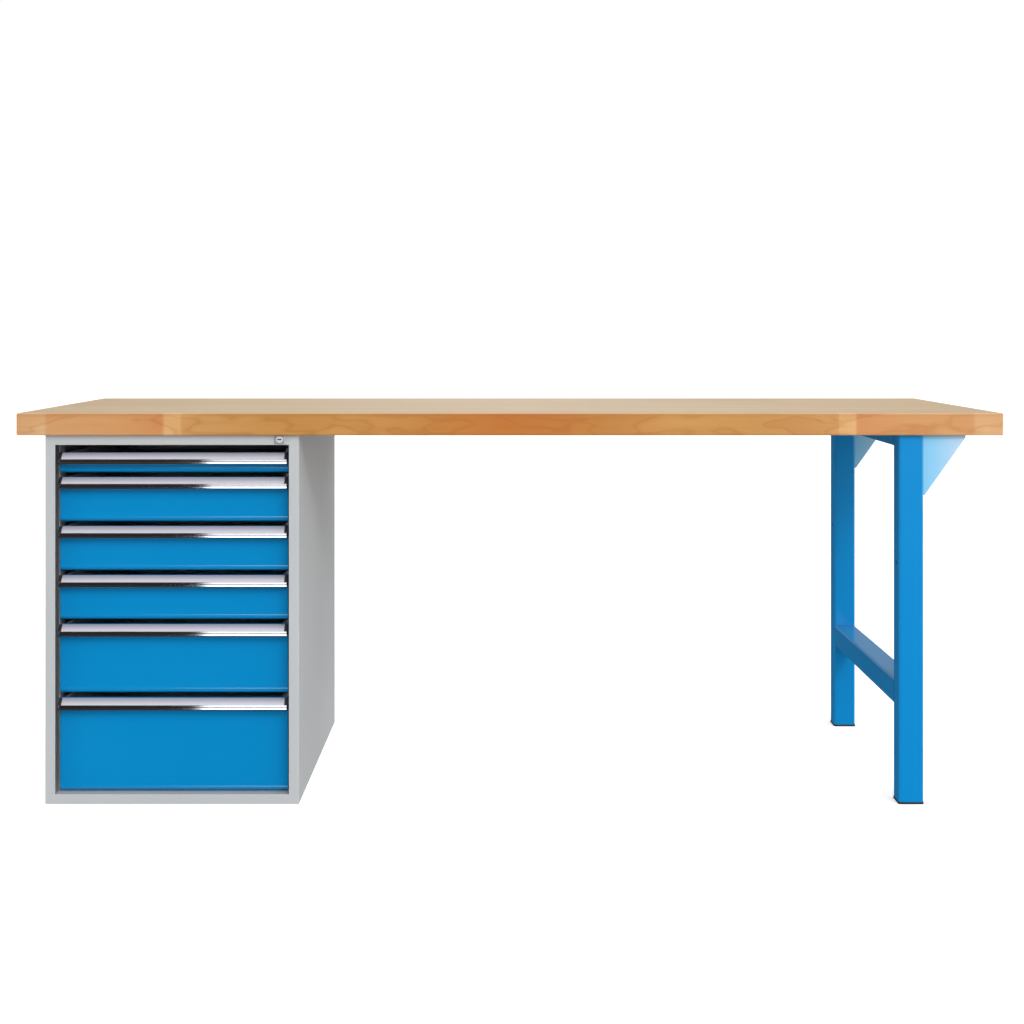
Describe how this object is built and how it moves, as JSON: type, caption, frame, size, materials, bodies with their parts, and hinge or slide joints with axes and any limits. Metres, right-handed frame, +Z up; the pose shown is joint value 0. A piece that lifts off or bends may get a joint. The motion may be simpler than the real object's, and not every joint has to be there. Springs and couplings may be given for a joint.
{
  "type": "workbench with drawer cabinet",
  "caption": "Workbench: thick wooden top on a steel cabinet with full-extension drawers and a cam lock at one end and a square-tube leg frame at the other.",
  "frame": {"origin": "on the floor, under the middle of the worktop", "axes": "+X along the bench, from the drawer cabinet to the leg frame; +Y from the drawer side to the back; +Z up"},
  "size_m": [2, 0.75, 0.795],
  "materials": {
    "worktop_beech": "oiled, satin",
    "cabinet_grey": "powder coat, light grey",
    "box_grey": "powder coat, light grey",
    "drawer_blue": "powder coat, light blue",
    "frame_blue": "powder coat, light blue",
    "handle_aluminium": "anodised extrusion",
    "label_grey": "card strip under clear film",
    "cap_black": "moulded",
    "foot_black": "moulded",
    "slide_zinc": "zinc plated",
    "lock_nickel": "nickel plated, satin",
    "screw_zinc": "zinc plated"
  },
  "bodies": {
    "bench": {"worktop": "worktop_beech", "cabinet_left_side": "cabinet_grey", "cabinet_right_side": "cabinet_grey", "cabinet_back": "cabinet_grey", "cabinet_top_plate": "cabinet_grey", "cabinet_base_plate": "cabinet_grey", "front_top_rail": "cabinet_grey", "lock_housing": "lock_nickel", "cabinet_slides": "slide_zinc", "leg_front": "frame_blue", "leg_back": "frame_blue", "leg_top_bar": "frame_blue", "leg_stretcher": "frame_blue", "leg_gussets": "frame_blue", "leg_feet": "foot_black", "worktop_screws": "screw_zinc"},
    "drawer_1": {"drawer_1_front": "drawer_blue", "drawer_1_handle": "handle_aluminium", "drawer_1_label": "label_grey", "drawer_1_end_caps": "cap_black", "drawer_1_box": "box_grey", "drawer_1_slide_inner": "slide_zinc"},
    "slides_1": {"drawer_1_slide_middle": "slide_zinc"},
    "drawer_2": {"drawer_2_front": "drawer_blue", "drawer_2_handle": "handle_aluminium", "drawer_2_label": "label_grey", "drawer_2_end_caps": "cap_black", "drawer_2_box": "box_grey", "drawer_2_slide_inner": "slide_zinc"},
    "slides_2": {"drawer_2_slide_middle": "slide_zinc"},
    "drawer_3": {"drawer_3_front": "drawer_blue", "drawer_3_handle": "handle_aluminium", "drawer_3_label": "label_grey", "drawer_3_end_caps": "cap_black", "drawer_3_box": "box_grey", "drawer_3_slide_inner": "slide_zinc"},
    "slides_3": {"drawer_3_slide_middle": "slide_zinc"},
    "drawer_4": {"drawer_4_front": "drawer_blue", "drawer_4_handle": "handle_aluminium", "drawer_4_label": "label_grey", "drawer_4_end_caps": "cap_black", "drawer_4_box": "box_grey", "drawer_4_slide_inner": "slide_zinc"},
    "slides_4": {"drawer_4_slide_middle": "slide_zinc"},
    "drawer_5": {"drawer_5_front": "drawer_blue", "drawer_5_handle": "handle_aluminium", "drawer_5_label": "label_grey", "drawer_5_end_caps": "cap_black", "drawer_5_box": "box_grey", "drawer_5_slide_inner": "slide_zinc"},
    "slides_5": {"drawer_5_slide_middle": "slide_zinc"},
    "drawer_6": {"drawer_6_front": "drawer_blue", "drawer_6_handle": "handle_aluminium", "drawer_6_label": "label_grey", "drawer_6_end_caps": "cap_black", "drawer_6_box": "box_grey", "drawer_6_slide_inner": "slide_zinc"},
    "slides_6": {"drawer_6_slide_middle": "slide_zinc"},
    "lock_cylinder": {"lock_cylinder": "lock_nickel"},
    "lock_bar": {"lock_bar": "slide_zinc"}
  },
  "joints": [
    {"name": "drawer_1_pull", "type": "slide", "parent": "bench", "child": "drawer_1", "axis": [0, -1, 0], "range_m": [0, 0.6]},
    {"name": "slides_1_run", "type": "slide", "parent": "bench", "child": "slides_1", "axis": [0, -1, 0], "range_m": [0, 0.3]},
    {"name": "drawer_2_pull", "type": "slide", "parent": "bench", "child": "drawer_2", "axis": [0, -1, 0], "range_m": [0, 0.6]},
    {"name": "slides_2_run", "type": "slide", "parent": "bench", "child": "slides_2", "axis": [0, -1, 0], "range_m": [0, 0.3]},
    {"name": "drawer_3_pull", "type": "slide", "parent": "bench", "child": "drawer_3", "axis": [0, -1, 0], "range_m": [0, 0.6]},
    {"name": "slides_3_run", "type": "slide", "parent": "bench", "child": "slides_3", "axis": [0, -1, 0], "range_m": [0, 0.3]},
    {"name": "drawer_4_pull", "type": "slide", "parent": "bench", "child": "drawer_4", "axis": [0, -1, 0], "range_m": [0, 0.6]},
    {"name": "slides_4_run", "type": "slide", "parent": "bench", "child": "slides_4", "axis": [0, -1, 0], "range_m": [0, 0.3]},
    {"name": "drawer_5_pull", "type": "slide", "parent": "bench", "child": "drawer_5", "axis": [0, -1, 0], "range_m": [0, 0.6]},
    {"name": "slides_5_run", "type": "slide", "parent": "bench", "child": "slides_5", "axis": [0, -1, 0], "range_m": [0, 0.3]},
    {"name": "drawer_6_pull", "type": "slide", "parent": "bench", "child": "drawer_6", "axis": [0, -1, 0], "range_m": [0, 0.6]},
    {"name": "slides_6_run", "type": "slide", "parent": "bench", "child": "slides_6", "axis": [0, -1, 0], "range_m": [0, 0.3]},
    {"name": "lock_turn", "type": "hinge", "parent": "bench", "child": "lock_cylinder", "pos_m": [-0.468, -0.363, 0.741], "axis": [0, 1, 0], "range_deg": [0, 90]},
    {"name": "lock_bar_drop", "type": "slide", "parent": "bench", "child": "lock_bar", "axis": [0, 0, -1], "range_m": [0, 0.008]}
  ],
  "couplings": [
    {"joint": "slides_1_run", "follows": "drawer_1_pull", "ratio": 0.5},
    {"joint": "slides_2_run", "follows": "drawer_2_pull", "ratio": 0.5},
    {"joint": "slides_3_run", "follows": "drawer_3_pull", "ratio": 0.5},
    {"joint": "slides_4_run", "follows": "drawer_4_pull", "ratio": 0.5},
    {"joint": "slides_5_run", "follows": "drawer_5_pull", "ratio": 0.5},
    {"joint": "slides_6_run", "follows": "drawer_6_pull", "ratio": 0.5},
    {"joint": "lock_turn", "follows": "lock_bar_drop", "rad_per_m": 196.35}
  ]
}
